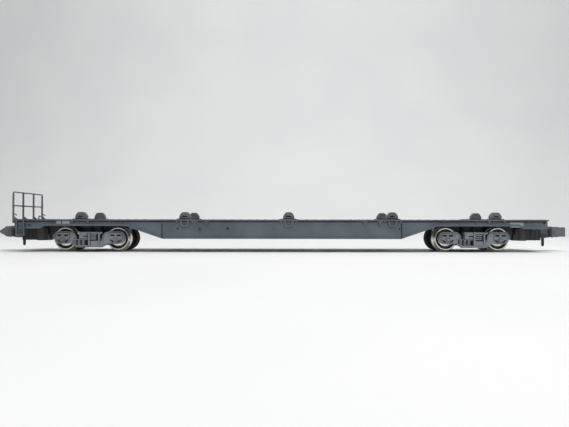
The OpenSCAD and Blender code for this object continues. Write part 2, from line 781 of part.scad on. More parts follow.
coupler_z = axle_z + coupler_up;
coupler_reach = pocket_end + coupler_out;
head_x = coupler_reach - head_l;
head_z = coupler_z - head_h / 2;
shank_z = pocket_z + pocket_t + (pocket_inner_h - shank_h) / 2;
eye_gap = 0.1;
uncouple_x = coupler_reach - uncouple_back;
uncouple_y = -uncouple_side;

// Wedge-nosed outline of the hook with a thin lip at its tip, seen from the side
lip_l = head_l * 0.18;
module hook_outline() {
    lip = head_h * 0.1;
    nose_x = coupler_reach - lip_l;
    slope_x = nose_x - head_l * 0.5;
    translate([0, coupler_z]) polygon([
        [head_x, -head_h / 2], [slope_x, -head_h / 2], [nose_x, -lip], [coupler_reach, -lip],
        [coupler_reach, lip], [nose_x, lip], [slope_x, head_h / 2], [head_x, head_h / 2]]);
}

module coupler() {
    color(bogie_grey) difference() {
        union() {
            translate([pivot_x, 0, pocket_z + pocket_t + eye_gap])
                cylinder(d = eye_d, h = pocket_inner_h - 2 * eye_gap);
            span([pivot_x, -shank_w / 2, shank_z], [head_x + eps, shank_w / 2, shank_z + shank_h]);
            span([uncouple_x - uncouple_d, uncouple_y - uncouple_d * 0.7, shank_z],
                [uncouple_x + uncouple_d, 0, shank_z + shank_h / 2]);
            span([head_x, -head_w / 2, head_z], [head_x + head_t, head_w / 2, head_z + head_h]);
            across(head_w / 2 - head_t, head_w / 2) hook_outline();
            intersection() {
                across(-head_t / 4, head_w / 2) hook_outline();
                span([coupler_reach - lip_l - head_t, -head_w, 0], [coupler_reach, head_w, deck_z]);
            }
            span([head_x, -head_w / 2, head_z],
                [coupler_reach - guard_l, -head_w / 2 + head_t, head_z + head_h]);
            span([head_x, -head_w / 2, head_z + guard_in],
                [coupler_reach, -head_w / 2 + head_t * 1.4, head_z + head_h - guard_in]);
        }
        translate([pivot_x, 0, 0]) cylinder(d = pivot_d + 2 * running_gap, h = deck_z);
    }
}

module uncoupling_pin() {
    color(black) translate([uncouple_x, uncouple_y, uncouple_z + uncouple_d / 2]) {
        cylinder(d = uncouple_d, h = shank_z - uncouple_z - uncouple_d / 2);
        sphere(d = uncouple_d);
    }
}

deck();
underframe();
ballast_plate();
container_locks_left();
container_locks_right();
sill_brackets_left();
sill_brackets_right();
end_railing();
corner_steps();
brake_cylinder();
air_reservoirs();
control_valve();
brake_rods();
at_bogie(-1) bogie_pin();  // bogie_pin_front
at_bogie(1) bogie_pin();  // bogie_pin_rear
at_bogie(-1) bogie_core();  // bogie_core_front
at_bogie(1) bogie_core();  // bogie_core_rear
at_bogie(-1) side_frames();  // side_frames_front
at_bogie(1) side_frames();  // side_frames_rear
at_bogie(-1) brake_shoes();  // brake_shoes_front
at_bogie(1) brake_shoes();  // brake_shoes_rear
at_bogie(-1) coupler_lid();  // coupler_lid_front
at_bogie(1) coupler_lid();  // coupler_lid_rear
translate([axle_x(1), 0, 0]) wheel_pair();  // wheels_1
translate([axle_x(2), 0, 0]) wheel_pair();  // wheels_2
translate([axle_x(3), 0, 0]) wheel_pair();  // wheels_3
translate([axle_x(4), 0, 0]) wheel_pair();  // wheels_4
translate([axle_x(1), 0, 0]) axle();  // axle_1
translate([axle_x(2), 0, 0]) axle();  // axle_2
translate([axle_x(3), 0, 0]) axle();  // axle_3
translate([axle_x(4), 0, 0]) axle();  // axle_4
at_bogie(-1) coupler();  // coupler_front
at_bogie(1) coupler();  // coupler_rear
at_bogie(-1) uncoupling_pin();  // uncoupling_pin_front
at_bogie(1) uncoupling_pin();  // uncoupling_pin_rear
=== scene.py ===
"""Looks for an empty N gauge container flatcar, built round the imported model.

Pieces are drawn in millimetres and scaled to metres. World axes are those of the model: +X runs
from the railing end to the plain end, +Z is up, and the near side is -Y.
"""
import json
import math

import bmesh
import bpy
from mathutils import Matrix, Vector


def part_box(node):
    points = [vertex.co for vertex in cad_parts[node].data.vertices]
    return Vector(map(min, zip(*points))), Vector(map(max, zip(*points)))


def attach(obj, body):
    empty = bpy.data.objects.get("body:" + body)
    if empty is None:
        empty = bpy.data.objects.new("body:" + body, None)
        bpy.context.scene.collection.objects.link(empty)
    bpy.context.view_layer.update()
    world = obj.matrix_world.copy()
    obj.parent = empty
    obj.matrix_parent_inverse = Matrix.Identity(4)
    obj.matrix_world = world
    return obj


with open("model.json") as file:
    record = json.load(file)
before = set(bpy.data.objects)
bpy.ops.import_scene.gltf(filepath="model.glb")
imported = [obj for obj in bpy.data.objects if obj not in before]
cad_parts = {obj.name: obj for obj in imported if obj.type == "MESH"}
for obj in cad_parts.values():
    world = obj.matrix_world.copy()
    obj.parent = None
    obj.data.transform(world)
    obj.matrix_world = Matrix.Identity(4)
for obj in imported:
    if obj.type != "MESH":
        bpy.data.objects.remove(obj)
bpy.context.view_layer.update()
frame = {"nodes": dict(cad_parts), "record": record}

MM = 0.001
NEAR, FAR = -1, 1
SIDES = (NEAR, FAR)
ENDS = {"front": -1, "rear": 1}
WHEELSETS = range(1, 5)


def mm_box(node):
    """Lowest and highest corner of a CAD node, in millimetres."""
    low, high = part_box(node)
    return Vector(low) / MM, Vector(high) / MM


def axle_x(n):
    """Where wheelset n stands along X."""
    low, high = mm_box("wheels_%d" % n)
    return (low.x + high.x) / 2


# --- Places taken from the model, in millimetres ---

deck_low, deck_high = mm_box("deck")
lock_low, lock_high = mm_box("container_locks_right")
bracket_low, bracket_high = mm_box("sill_brackets_right")
ballast_low, ballast_high = mm_box("ballast_plate")
pin_low, pin_high = mm_box("bogie_pin_rear")
wheel_low, wheel_high = mm_box("wheels_4")
lid_low, lid_high = mm_box("coupler_lid_rear")
_, frame_high = mm_box("side_frames_rear")
rail_low, rail_high = mm_box("end_railing")
core_low, _ = mm_box("bogie_core_rear")
tip_low, tip_high = mm_box("coupler_rear")

SINK = 0.02  # how deep an added piece is let into the face it stands on
HALF_POST = 0.23
FRAME_RELIEF = 0.4
COUPLER_HEAD_L = 3.5

DECK_Z = lock_low.z
DECK_SKIN = DECK_Z - SINK
DECK_HALF_L = deck_high.x
DECK_HALF_W = deck_high.y
WEB_Y = bracket_low.y
FLANGE_UNDER = bracket_high.z
SILL_BOTTOM = deck_low.z
LOCK_Y = (lock_low.y + lock_high.y) / 2
LOCK_XS = [m["pos_m"][0] / MM for m in frame["record"]["mounts"] if m["kind"] == "flat_face"]
BALLAST_TOP = ballast_high.z
SEAM_X = mm_box("brake_rods")[1].x
BOGIE_X = (pin_low.x + pin_high.x) / 2
AXLE_Z = (wheel_low.z + wheel_high.z) / 2
HALF_WHEELBASE = (wheel_low.x + wheel_high.x) / 2 - BOGIE_X
WHEEL_FACE = wheel_high.y
FRAME_Y = frame_high.y
FRAME_FACE = FRAME_Y - FRAME_RELIEF
POCKET_X = lid_low.x - BOGIE_X
POCKET_END = lid_high.x - BOGIE_X
POCKET_HALF_W = lid_high.y
COUPLER_HEAD_X = tip_high.x - COUPLER_HEAD_L
POST_X = rail_low.x + HALF_POST
POST_Y = rail_high.y - HALF_POST
INNER_POST_Y = 3.05


# --- Putting things in the scene ---

def add_object(name, data):
    """Puts data into the scene as an object."""
    obj = bpy.data.objects.new(name, data)
    bpy.context.scene.collection.objects.link(obj)
    return obj


def mesh_data(name, mesh):
    """Turns a drawn mesh into mesh data and frees the drawing."""
    data = bpy.data.meshes.new(name)
    mesh.to_mesh(data)
    mesh.free()
    return data


# --- Camera ---

def add_camera():
    """Camera low beside the car, square to its side."""
    place = Vector((0.0, -151.0, 7.76)) * MM
    pitch, yaw, roll = (math.radians(a) for a in (0.698, 0.246, 0.08))
    data = bpy.data.cameras.new("camera")
    data.lens = 36.86
    data.sensor_width = 36.0
    data.clip_start = 1 * MM
    data.clip_end = 20.0
    camera = add_object("camera", data)
    turn = Matrix.Rotation(-yaw, 4, "Z") @ Matrix.Rotation(math.pi / 2 + pitch, 4, "X")
    camera.matrix_world = Matrix.Translation(place) @ turn @ Matrix.Rotation(roll, 4, "Z")
    bpy.context.scene.camera = camera


add_camera()


# --- Materials ---

DUST = (0.62, 0.61, 0.58)
PAINTED_SHADE_TONE = (0.5, 0.48, 0.46)
PLAIN_BLACK = (0.016, 0.017, 0.020)
DARK_METAL_TONE = (0.012, 0.011, 0.010)


def shade(colour, factor, lift=0.0):
    """The colour made darker or paler, and no brighter than white."""
    return tuple(min(1.0, c * factor + lift) for c in colour)


def new_material(name):
    """A material with its node tree and its shader."""
    material = bpy.data.materials.new(name)
    material.use_nodes = True
    tree = material.node_tree
    shader = tree.nodes["Principled BSDF"]
    return material, tree, shader


def noise(tree, size_mm, detail=3.0, roughness=0.5, stretch=(1, 1, 1)):
    """Noise whose features are about size_mm across, in the object's own coordinates."""
    coords = tree.nodes.new("ShaderNodeTexCoord")
    mapping = tree.nodes.new("ShaderNodeMapping")
    mapping.inputs["Scale"].default_value = [s / (size_mm * MM) for s in stretch]
    texture = tree.nodes.new("ShaderNodeTexNoise")
    texture.inputs["Scale"].default_value = 1.0
    texture.inputs["Detail"].default_value = detail
    texture.inputs["Roughness"].default_value = roughness
    tree.links.new(coords.outputs["Object"], mapping.inputs["Vector"])
    tree.links.new(mapping.outputs["Vector"], texture.inputs["Vector"])
    return texture.outputs["Fac"]


def ramp(tree, value, low, high, at_low, at_high):
    """Maps value from low..high to at_low..at_high, clamped."""
    node = tree.nodes.new("ShaderNodeMapRange")
    node.inputs["From Min"].default_value = low
    node.inputs["From Max"].default_value = high
    node.inputs["To Min"].default_value = at_low
    node.inputs["To Max"].default_value = at_high
    tree.links.new(value, node.inputs["Value"])
    return node.outputs["Result"]


def mix_colour(tree, factor, first, second, blend="MIX"):
    """Goes from the first colour to the second as factor goes from 0 to 1."""
    node = tree.nodes.new("ShaderNodeMix")
    node.data_type = "RGBA"
    node.blend_type = blend
    if isinstance(factor, float):
        node.inputs["Factor"].default_value = factor
    else:
        tree.links.new(factor, node.inputs["Factor"])
    for socket, value in ((node.inputs["A"], first), (node.inputs["B"], second)):
        if isinstance(value, (tuple, list)):
            socket.default_value = (*value, 1.0)
        else:
            tree.links.new(value, socket)
    return node.outputs["Result"]


def math_node(tree, operation, *values):
    """A Math node's result. Each value is a number or an output."""
    node = tree.nodes.new("ShaderNodeMath")
    node.operation = operation
    for socket, value in zip(node.inputs, values):
        if isinstance(value, float):
            socket.default_value = value
        else:
            tree.links.new(value, socket)
    return node.outputs[0]


def distance_along(tree, axis):
    """How far the surface lies from the car's middle along X or Y."""
    coords = tree.nodes.new("ShaderNodeTexCoord")
    parts = tree.nodes.new("ShaderNodeSeparateXYZ")
    tree.links.new(coords.outputs["Object"], parts.inputs[0])
    return math_node(tree, "ABSOLUTE", parts.outputs[axis])


def edge_mask(tree, radius_mm):
    """1 on sharp edges, 0 on flat faces."""
    bevel = tree.nodes.new("ShaderNodeBevel")
    bevel.samples = 4
    bevel.inputs["Radius"].default_value = radius_mm * MM
    geometry = tree.nodes.new("ShaderNodeNewGeometry")
    dot = tree.nodes.new("ShaderNodeVectorMath")
    dot.operation = "DOT_PRODUCT"
    tree.links.new(bevel.outputs["Normal"], dot.inputs[0])
    tree.links.new(geometry.outputs["Normal"], dot.inputs[1])
    return ramp(tree, dot.outputs["Value"], 0.97, 0.8, 0.0, 1.0)


def crevices(tree, reach_mm):
    """1 in the open, 0 in corners and gaps."""
    node = tree.nodes.new("ShaderNodeAmbientOcclusion")
    node.samples = 6
    node.inputs["Distance"].default_value = reach_mm * MM
    return ramp(tree, node.outputs["AO"], 0.35, 0.9, 0.0, 1.0)


def facing_up(tree):
    """1 on faces that look up, 0 on the rest."""
    geometry = tree.nodes.new("ShaderNodeNewGeometry")
    parts = tree.nodes.new("ShaderNodeSeparateXYZ")
    tree.links.new(geometry.outputs["Normal"], parts.inputs[0])
    return ramp(tree, parts.outputs["Z"], 0.5, 0.95, 0.0, 1.0)


def bump(tree, layers):
    """Chains bumps, each given as (height, strength, depth in mm), and returns the normal."""
    normal = None
    for height, strength, depth in layers:
        node = tree.nodes.new("ShaderNodeBump")
        node.inputs["Strength"].default_value = strength
        node.inputs["Distance"].default_value = depth * MM
        tree.links.new(height, node.inputs["Height"])
        if normal is not None:
            tree.links.new(normal, node.inputs["Normal"])
        normal = node.outputs["Normal"]
    return normal


def plastic(name, colour, gloss=0.45, edge=0.35, dust=0.12, gap=0.5, black_within=0.0):
    """Moulded plastic with an uneven tint, fine grain, paler worn edges and a little dust on top.

    gap is the tone of the painted shade left in the deepest corners. Closer to the middle of the
    car than black_within along X, the plastic is black.
    """
    material, tree, shader = new_material(name)
    broad = noise(tree, 5.0, 2.0)
    cloud = noise(tree, 0.9, 4.0, 0.6)
    fine = noise(tree, 0.09, 2.0, 0.6)
    uneven = ramp(tree, broad, 0.35, 0.65, 0.0, 1.0)
    tint = mix_colour(tree, uneven, shade(colour, 0.86), shade(colour, 1.16))
    grain = ramp(tree, fine, 0.58, 0.72, 0.0, 0.35)
    tint = mix_colour(tree, grain, tint, shade(colour, 0.8))
    worn = ramp(tree, cloud, 0.35, 0.7, edge * 0.5, edge)
    wear = math_node(tree, "MULTIPLY", edge_mask(tree, 0.07), worn)
    tint = mix_colour(tree, wear, tint, shade(colour, 1.7, 0.03))
    settled = ramp(tree, cloud, 0.4, 0.75, dust * 0.4, dust)
    tint = mix_colour(tree, math_node(tree, "MULTIPLY", facing_up(tree), settled), tint, DUST)
    if black_within:
        along = distance_along(tree, "X")
        black = ramp(tree, along, (black_within - 0.03) * MM, black_within * MM, 1.0, 0.0)
        tint = mix_colour(tree, black, tint, PLAIN_BLACK)
    # Painted shade: corners and gaps found by ambient occlusion are darkened towards the gap tone.
    if gap < 1.0:
        shaded_corners = mix_colour(tree, 1.0, tint, shade(PAINTED_SHADE_TONE, gap), "MULTIPLY")
        tint = mix_colour(tree, crevices(tree, 0.6), shaded_corners, tint)
    rough = ramp(tree, cloud, 0.3, 0.7, gloss - 0.06, gloss + 0.09)
    layers = [(broad, 0.25, 0.03), (cloud, 0.2, 0.012), (fine, 0.35, 0.006)]
    tree.links.new(tint, shader.inputs["Base Color"])
    tree.links.new(rough, shader.inputs["Roughness"])
    tree.links.new(bump(tree, layers), shader.inputs["Normal"])
    return material


def axle_distance(tree, x):
    """How far the surface lies from an axle along Y at x."""
    coords = tree.nodes.new("ShaderNodeTexCoord")
    mapping = tree.nodes.new("ShaderNodeMapping")
    mapping.inputs["Location"].default_value = (-x * MM, 0, -AXLE_Z * MM)
    flat = tree.nodes.new("ShaderNodeVectorMath")
    flat.operation = "MULTIPLY"
    flat.inputs[1].default_value = (1, 0, 1)
    length = tree.nodes.new("ShaderNodeVectorMath")
    length.operation = "LENGTH"
    tree.links.new(coords.outputs["Object"], mapping.inputs["Vector"])
    tree.links.new(mapping.outputs["Vector"], flat.inputs[0])
    tree.links.new(flat.outputs["Vector"], length.inputs[0])
    return length.outputs["Value"]


def turned_metal(name, colour, x, gloss=0.2, groove=None, back_y=0.0):
    """Turned metal: fine rings round an axle along Y at x, with faint tarnish.

    groove is the inner and outer radius of a ring painted dark as the shade and dark reflection in
    the wheel's recess, and metal closer to the middle than back_y is made dark too.
    """
    ring_mm, soft = 0.12, 0.04 * MM
    material, tree, shader = new_material(name)
    radius = axle_distance(tree, x)
    rings = tree.nodes.new("ShaderNodeTexNoise")
    rings.noise_dimensions = "1D"
    rings.inputs["Scale"].default_value = 1.0
    rings.inputs["Detail"].default_value = 3.0
    tree.links.new(math_node(tree, "MULTIPLY", radius, 1 / (ring_mm * MM)), rings.inputs["W"])
    tarnish = noise(tree, 1.4, 4.0, 0.6)
    dull = ramp(tree, tarnish, 0.4, 0.75, 0.0, 0.6)
    tint = mix_colour(tree, dull, colour, shade(colour, 0.72))
    # Painted shade: the recess ring is painted near black and not metallic. Metal nearer the
    # middle than back_y is made dark too.
    if groove:
        inner, outer = (r * MM for r in groove)
        ring = math_node(tree, "MULTIPLY", ramp(tree, radius, inner - soft, inner, 0.0, 1.0),
                         ramp(tree, radius, outer, outer + soft, 1.0, 0.0))
        from_middle = distance_along(tree, "Y")
        back = ramp(tree, from_middle, back_y * MM - soft, back_y * MM, 0.85, 0.0)
        black = math_node(tree, "MAXIMUM", ring, back)
        tint = mix_colour(tree, black, tint, DARK_METAL_TONE)
        rough = ramp(tree, black, 0.0, 1.0, gloss + 0.06, 0.5)
        tree.links.new(ramp(tree, black, 0.0, 1.0, 1.0, 0.0), shader.inputs["Metallic"])
    else:
        rough = ramp(tree, tarnish, 0.3, 0.7, gloss, gloss + 0.18)
        shader.inputs["Metallic"].default_value = 1.0
    tree.links.new(tint, shader.inputs["Base Color"])
    tree.links.new(rough, shader.inputs["Roughness"])
    tree.links.new(bump(tree, [(rings.outputs["Fac"], 0.4, 0.008)]), shader.inputs["Normal"])
    return material


def rolled_metal(name, colour, gloss=0.35):
    """Rolled sheet metal with fine brush lines along X and a few darker spots."""
    material, tree, shader = new_material(name)
    lines = noise(tree, 0.08, 2.0, 0.5, (0.04, 1, 1))
    spots = noise(tree, 1.8, 5.0, 0.65)
    tint = mix_colour(tree, ramp(tree, spots, 0.5, 0.75, 0.0, 0.7), colour, shade(colour, 0.55))
    rough = ramp(tree, spots, 0.3, 0.7, gloss, gloss + 0.2)
    shader.inputs["Metallic"].default_value = 1.0
    tree.links.new(tint, shader.inputs["Base Color"])
    tree.links.new(rough, shader.inputs["Roughness"])
    tree.links.new(bump(tree, [(lines, 0.4, 0.006), (spots, 0.2, 0.01)]), shader.inputs["Normal"])
    return material


BODY = plastic("body_plastic", (0.084, 0.105, 0.126))
# Painted shadow: the near-black tone of the strip laid under each sill's top flange.
PAINTED_FLANGE_SHADOW = plastic("painted_flange_shadow", (0.022, 0.027, 0.032), gloss=0.5, edge=0.1, dust=0.03, gap=1.0)
LOCK = plastic("lock_plastic", (0.090, 0.090, 0.104), gloss=0.4)
TRUCK = plastic("bogie_plastic", (0.185, 0.205, 0.232), gloss=0.42, edge=0.5, gap=0.3)
HOOK = plastic("coupler_plastic", (0.115, 0.125, 0.145), gloss=0.4, edge=0.4,
               black_within=COUPLER_HEAD_X)
COLLAR = plastic("collar_plastic", (0.080, 0.087, 0.100), gloss=0.4, edge=0.4)
BLACK = plastic("black_plastic", (0.009, 0.0095, 0.011), gloss=0.35, edge=0.6, dust=0.02, gap=1.0)
BARREL = plastic("pocket_plastic", (0.050, 0.045, 0.047), gloss=0.45)
PRINT = plastic("pale_print", (0.27, 0.32, 0.33), gloss=0.5, edge=0.0, dust=0.05, gap=1.0)
# Painted shade: near-black pieces put in holes, slots, grooves and recesses where shade falls.
SHADOW = plastic("painted_recess_shade", (0.005, 0.005, 0.006), gloss=0.7, edge=0.0, dust=0.0, gap=1.0)
BALLAST = rolled_metal("ballast_steel", (0.40, 0.39, 0.38))
SCREW = rolled_metal("screw_steel", (0.42, 0.41, 0.39), gloss=0.28)


# --- Drawing pieces ---

def on_side(side):
    """Drawing board on the car's side: x along +X, y up, z out from the car's middle."""
    return Matrix(((1, 0, 0, 0), (0, 0, side, 0), (0, 1, 0, 0), (0, 0, 0, 1)))


def from_outside(side, x):
    """Drawing board seen from outside: x to the right, y up, z out from the car's middle."""
    return Matrix(((-side, 0, 0, x), (0, 0, side, 0), (0, 1, 0, 0), (0, 0, 0, 1)))


def at_end(end, x):
    """Board at a place along the car: x towards the car's end, y across, z up."""
    return Matrix(((end, 0, 0, end * x), (0, end, 0, 0), (0, 0, 1, 0), (0, 0, 0, 1)))


def on_end(end):
    """Drawing board on the car's end: x across, y up, z out from the car's middle."""
    return Matrix(((0, 0, end, 0), (end, 0, 0, 0), (0, 1, 0, 0), (0, 0, 0, 1)))


def circle(x, y, r, n):
    """n points evenly round a circle."""
    angles = [math.tau * i / n for i in range(n)]
    return [(x + r * math.cos(a), y + r * math.sin(a)) for a in angles]


def arc_points(centre, rx, ry, start, stop, steps):
    """Points along an arc of an ellipse, with the angles in degrees."""
    angles = [math.radians(start + (stop - start) * i / steps) for i in range(steps + 1)]
    return [(centre[0] + rx * math.cos(a), centre[1] + ry * math.sin(a)) for a in angles]


class Shape:
    """A mesh drawn on a board, in millimetres."""

    def __init__(self, board=None):
        self.mesh = bmesh.new()
        self.board = board or Matrix.Identity(4)

    def points(self, points):
        """Adds points to the mesh and returns them."""
        return [self.mesh.verts.new(self.board @ Vector(p)) for p in points]

    def bridge(self, low, high):
        """Joins two rings of points with faces."""
        n = len(low)
        for i in range(n):
            j = (i + 1) % n
            self.mesh.faces.new((low[i], low[j], high[j], high[i]))

    def box(self, low, high):
        """A box between two corners."""
        (x0, y0, z0), (x1, y1, z1) = low, high
        self.plate([(x0, y0), (x1, y0), (x1, y1), (x0, y1)], z0, z1)

    def block(self, x, y, half_x, half_y, z0, z1):
        """A box about x and y, from z0 to z1."""
        self.box((x - half_x, y - half_y, z0), (x + half_x, y + half_y, z1))

    def plate(self, outline, z0, z1, top=1.0):
        """An outline in x and y, raised from z0 to z1. top shrinks the upper face."""
        cx = sum(p[0] for p in outline) / len(outline)
        cy = sum(p[1] for p in outline) / len(outline)
        base = self.points([(x, y, z0) for x, y in outline])
        lid = self.points([(cx + (x - cx) * top, cy + (y - cy) * top, z1) for x, y in outline])
        self.mesh.faces.new(base[::-1])
        self.mesh.faces.new(lid)
        self.bridge(base, lid)

    def stud(self, x, y, d, z0, z1, n=14, top=0.8):
        """A round boss with a slightly narrower top."""
        outline = circle(x, y, d / 2, n)
        shoulder = z1 - (z1 - z0) * 0.35
        rings = [self.points([(px, py, z) for px, py in outline]) for z in (z0, shoulder)]
        rings.append(self.points([(x + (px - x) * top, y + (py - y) * top, z1)
                                  for px, py in outline]))
        self.mesh.faces.new(rings[0][::-1])
        self.mesh.faces.new(rings[-1])
        for low, high in zip(rings, rings[1:]):
            self.bridge(low, high)

    def ring(self, x, y, d_out, d_in, z0, z1, n=24):
        """A flat washer."""
        loops = [self.points([(px, py, z) for px, py in circle(x, y, d / 2, n)])
                 for d, z in ((d_out, z0), (d_out, z1), (d_in, z1), (d_in, z0))]
        for k, loop in enumerate(loops):
            self.bridge(loop, loops[(k + 1) % len(loops)])

    def tube(self, points, d, n=10, closed=False):
        """A round bar along points. Its ends are rounded off unless it is closed."""
        tip_r, tip_l = d * 0.35, 0.12
        path = [Vector(p) for p in points]
        last = len(path) - 1
        rings = []
        side = None
        for i, p in enumerate(path):
            before = path[i - 1] if i or closed else p
            after = path[(i + 1) % len(path)] if i < last or closed else p
            along = (after - before).normalized()
            if side is None:
                side = along.orthogonal().normalized()
            side = (side - along * side.dot(along)).normalized()
            up = along.cross(side)
            if not closed and i == 0:
                places = [(p, tip_r), (p + along * d * tip_l, d / 2)]
            elif not closed and i == last:
                places = [(p - along * d * tip_l, d / 2), (p, tip_r)]
            else:
                places = [(p, d / 2)]
            rings += [self.points([centre + side * u + up * v for u, v in circle(0, 0, r, n)])
                      for centre, r in places]
        pairs = list(zip(rings, rings[1:]))
        if closed:
            pairs.append((rings[-1], rings[0]))
        else:
            self.mesh.faces.new(rings[0][::-1])
            self.mesh.faces.new(rings[-1])
        for low, high in pairs:
            self.bridge(low, high)

    def coil(self, x, z, y0, y1, d, wire, turns, steps=14):
        """A coil spring standing along y."""
        total = int(turns * steps)
        points = [(x + (d - wire) / 2 * math.cos(math.tau * i / steps),
                   y0 + wire / 2 + (y1 - y0 - wire) * i / total,
                   z + (d - wire) / 2 * math.sin(math.tau * i / steps)) for i in range(total + 1)]
        self.tube(points, wire, n=7)

    def piece(self, name, material, body, slot, edge_mm=0.0, segments=2):
        """Turns the drawing into an object with rounded edges that rides on a body."""
        bmesh.ops.recalc_face_normals(self.mesh, faces=self.mesh.faces)
        data = mesh_data(name, self.mesh)
        data.transform(Matrix.Scale(MM, 4))
        data.materials.append(material)
        obj = add_object(name, data)
        data.shade_smooth()
        if edge_mm:
            round_edges(obj, edge_mm, segments)
        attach(obj, body)


def round_edges(obj, width_mm, segments):
    """Rounds the sharp edges and keeps flat faces flat."""
    bevel = obj.modifiers.new("rounding", "BEVEL")
    bevel.width = width_mm * MM
    bevel.segments = segments
    bevel.limit_method = "ANGLE"
    bevel.angle_limit = math.radians(32)
    bevel.harden_normals = True
    bevel.miter_outer = "MITER_ARC"


# --- Finishes of the CAD nodes ---

def finish_node(node, material):
    """Gives a CAD node its material."""
    for slot in frame["nodes"][node].material_slots:
        slot.link = "OBJECT"
        slot.material = material


NODE_FINISH = {
    BODY: ["deck", "underframe", "sill_brackets_left", "sill_brackets_right", "end_railing",
           "corner_steps", "brake_cylinder", "air_reservoirs", "control_valve", "brake_rods"],
    LOCK: ["container_locks_left", "container_locks_right"],
    BALLAST: ["ballast_plate"],
    TRUCK: ["side_frames_front", "side_frames_rear"],
    HOOK: ["coupler_front", "coupler_rear"],
    BLACK: ["bogie_pin_front", "bogie_pin_rear", "bogie_core_front", "bogie_core_rear",
            "brake_shoes_front", "brake_shoes_rear", "coupler_lid_front", "coupler_lid_rear",
            "uncoupling_pin_front", "uncoupling_pin_rear"],
}
for material, nodes in NODE_FINISH.items():
    for node in nodes:
        finish_node(node, material)
for n in WHEELSETS:
    finish_node("wheels_%d" % n, turned_metal("wheel_metal_%d" % n, (0.80, 0.77, 0.71), axle_x(n),
                                              groove=(1.94, 2.46), back_y=4.05))
    finish_node("axle_%d" % n, turned_metal("axle_metal_%d" % n, (0.42, 0.41, 0.39), axle_x(n),
                                            gloss=0.3))


# --- Stage ---

def add_stage():
    """Pale floor that curves up into a pale backdrop."""
    front, middle, back, bend, top, half_w = -600.0, -40.0, 330.0, 160.0, 700.0, 1500.0
    profile = [(front, 0.0), (middle, 0.0), (back - bend, 0.0)]
    steps = 24
    for i in range(1, steps + 1):
        a = math.pi / 2 * i / steps
        profile.append((back - bend + bend * math.sin(a), bend - bend * math.cos(a)))
    profile.append((back, top))
    mesh = bmesh.new()
    rows = [[mesh.verts.new(Vector((x, y, z)) * MM) for x in (-half_w, half_w)]
            for y, z in profile]
    for low, high in zip(rows, rows[1:]):
        mesh.faces.new((low[0], low[1], high[1], high[0]))
    data = mesh_data("studio_floor", mesh)
    data.shade_smooth()
    material, tree, shader = new_material("studio_floor")
    soft = ramp(tree, noise(tree, 60.0, 2.0), 0.3, 0.7, 0.0, 1.0)
    tint = mix_colour(tree, soft, (0.70, 0.71, 0.72), (0.74, 0.745, 0.75))
    tree.links.new(tint, shader.inputs["Base Color"])
    shader.inputs["Roughness"].default_value = 0.75
    data.materials.append(material)
    add_object("studio_floor", data)


def add_surround():
    """Pale dome round the stage, seen only by the camera, so it gives no light."""
    mesh = bmesh.new()
    bmesh.ops.create_icosphere(mesh, subdivisions=4, radius=3000.0 * MM)
    data = mesh_data("studio_surround", mesh)
    material, _, shader = new_material("studio_surround")
    shader.inputs["Base Color"].default_value = (0, 0, 0, 1)
    shader.inputs["Roughness"].default_value = 1.0
    shader.inputs["Emission Color"].default_value = (0.60, 0.605, 0.615, 1)
    shader.inputs["Emission Strength"].default_value = 1.0
    data.materials.append(material)
    dome = add_object("studio_surround", data)
    dome.visible_diffuse = False
    dome.visible_glossy = False
    dome.visible_transmission = False
    dome.visible_volume_scatter = False
    dome.visible_shadow = False


def add_area_light(name, place, target, size, power, colour=(1, 1, 1)):
    """A soft rectangular light at place that shines towards target."""
    data = bpy.data.lights.new(name, "AREA")
    data.shape = "RECTANGLE"
    data.size, data.size_y = (s * MM for s in size)
    data.energy = power
    data.color = colour
    light = add_object(name, data)
    light.location = Vector(place) * MM
    light.rotation_mode = "QUATERNION"
    light.rotation_quaternion = (Vector(target) - Vector(place)).to_track_quat("-Z", "Y")


def add_lights():
    """A dim even sky, and soft lights from above, from the near side and from behind."""
    world = bpy.data.worlds.new("world")
    world.use_nodes = True
    background = world.node_tree.nodes["Background"]
    background.inputs["Color"].default_value = (0.95, 0.97, 1.0, 1)
    background.inputs["Strength"].default_value = 0.2
    bpy.context.scene.world = world
    add_area_light("key", (40, -130, 430), (0, 0, 0), (420, 260), 2.0, (1.0, 0.985, 0.96))
    add_area_light("fill", (120, -430, 150), (0, 0, 5), (420, 240), 0.4, (0.95, 0.98, 1.0))
    add_area_light("back", (60, 120, 430), (0, 60, 0), (500, 160), 0.5)
    bpy.context.scene.view_settings.view_transform = "Standard"


add_stage()
add_surround()
add_lights()


# --- Car body details ---

def side_name(side):
    """The word for a side in the names of pieces."""
    return "near" if side == NEAR else "far"


